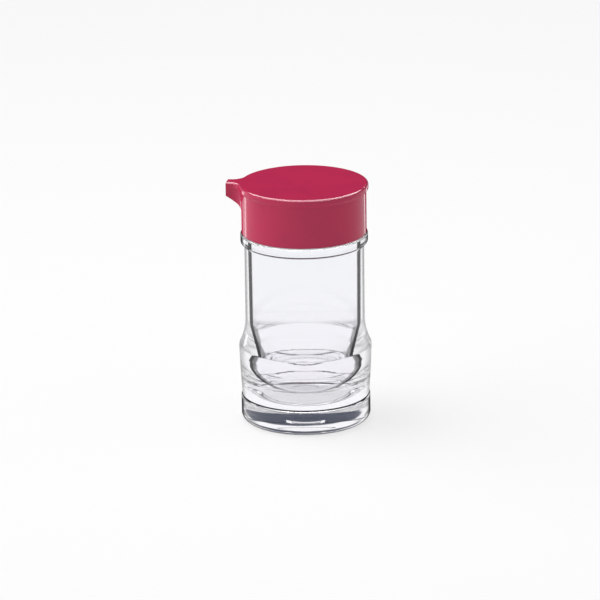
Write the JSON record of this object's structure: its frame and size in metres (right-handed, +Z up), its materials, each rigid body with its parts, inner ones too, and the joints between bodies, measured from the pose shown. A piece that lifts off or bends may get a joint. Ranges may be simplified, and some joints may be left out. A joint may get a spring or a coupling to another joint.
{
  "type": "soy sauce dispenser",
  "caption": "Small round table dispenser: thick clear body with a waisted base, and a screw cap with a pouring spout.",
  "frame": {"origin": "centre of the circle that the base stands on, on the body's axis", "axes": "+Z up along the body's axis, -X towards the tip of the spout, +Y away from the pictured side"},
  "size_m": [0.0683, 0.0628, 0.1164],
  "materials": {
    "clear_plastic": "clear, polished",
    "red_plastic": "glossy",
    "silicone": "matt, milky"
  },
  "bodies": {
    "vessel": {"vessel": "clear_plastic"},
    "seal_ring": {"seal_ring": "silicone"},
    "cap": {"cap": "red_plastic"}
  },
  "joints": [
    {"name": "cap_rise", "type": "slide", "parent": "vessel", "child": "seal_ring", "axis": [0, 0, 1], "range_m": [0, 0.01602]},
    {"name": "cap_turn", "type": "hinge", "parent": "seal_ring", "child": "cap", "pos_m": [0, 0, 0.1], "axis": [0, 0, 1], "range_deg": [0, 480]}
  ],
  "couplings": [
    {"joint": "cap_rise", "follows": "cap_turn", "m_per_rad": 0.0019099}
  ]
}
